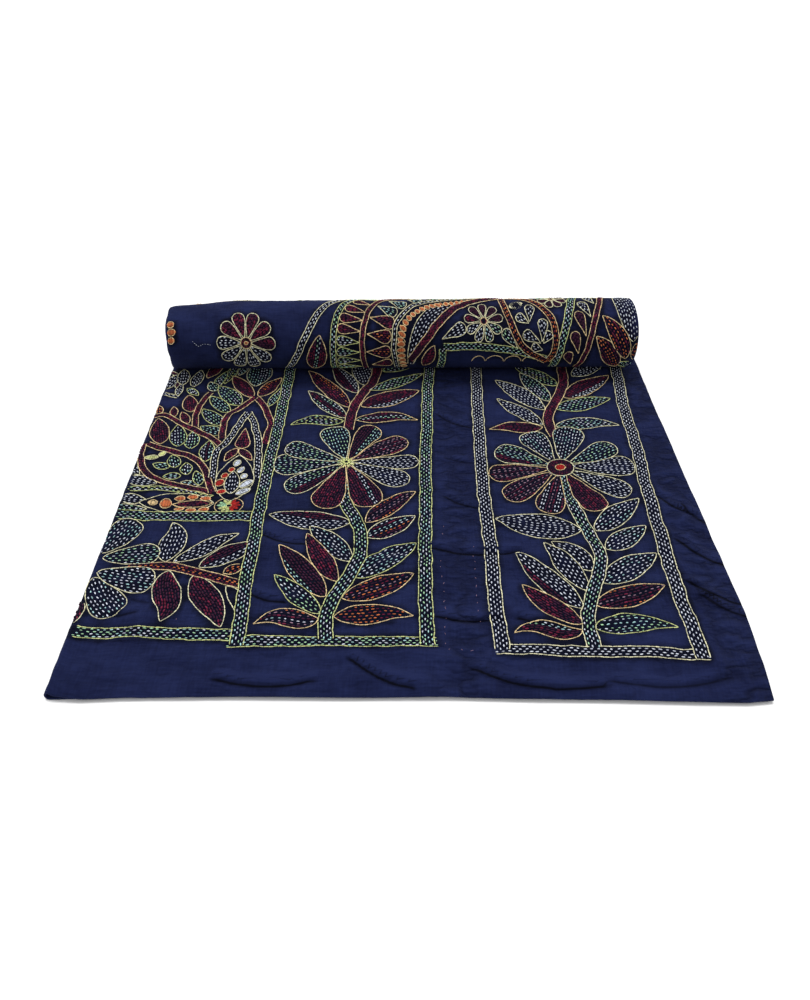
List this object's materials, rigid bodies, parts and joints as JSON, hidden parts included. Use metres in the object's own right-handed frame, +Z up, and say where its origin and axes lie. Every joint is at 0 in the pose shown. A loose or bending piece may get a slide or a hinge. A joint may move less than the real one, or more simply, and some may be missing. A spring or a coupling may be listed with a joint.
{
  "type": "kantha quilt",
  "caption": "Stitched cotton bed quilt, folded in half along its length and rolled up from one end, with the other end left flat.",
  "frame": {"origin": "middle of the bounding box's bottom face, on the surface that the quilt lies on", "axes": "+X along the roll, from the folded side to the side with the hems; +Y from the flat apron's hem towards the roll; +Z up"},
  "size_m": [0.7681, 0.7079, 0.1105],
  "materials": {
    "indigo_cotton": "matt plain-woven cotton, quilted with rows of running stitch",
    "pale_thread": "soft cotton embroidery thread with a low sheen",
    "green_thread": "soft cotton embroidery thread with a low sheen",
    "teal_thread": "soft cotton embroidery thread with a low sheen",
    "white_thread": "soft cotton embroidery thread with a low sheen",
    "maroon_thread": "soft cotton embroidery thread with a low sheen",
    "orange_thread": "soft cotton embroidery thread with a low sheen"
  },
  "bodies": {
    "root": {"quilt": "indigo_cotton"}
  },
  "joints": []
}
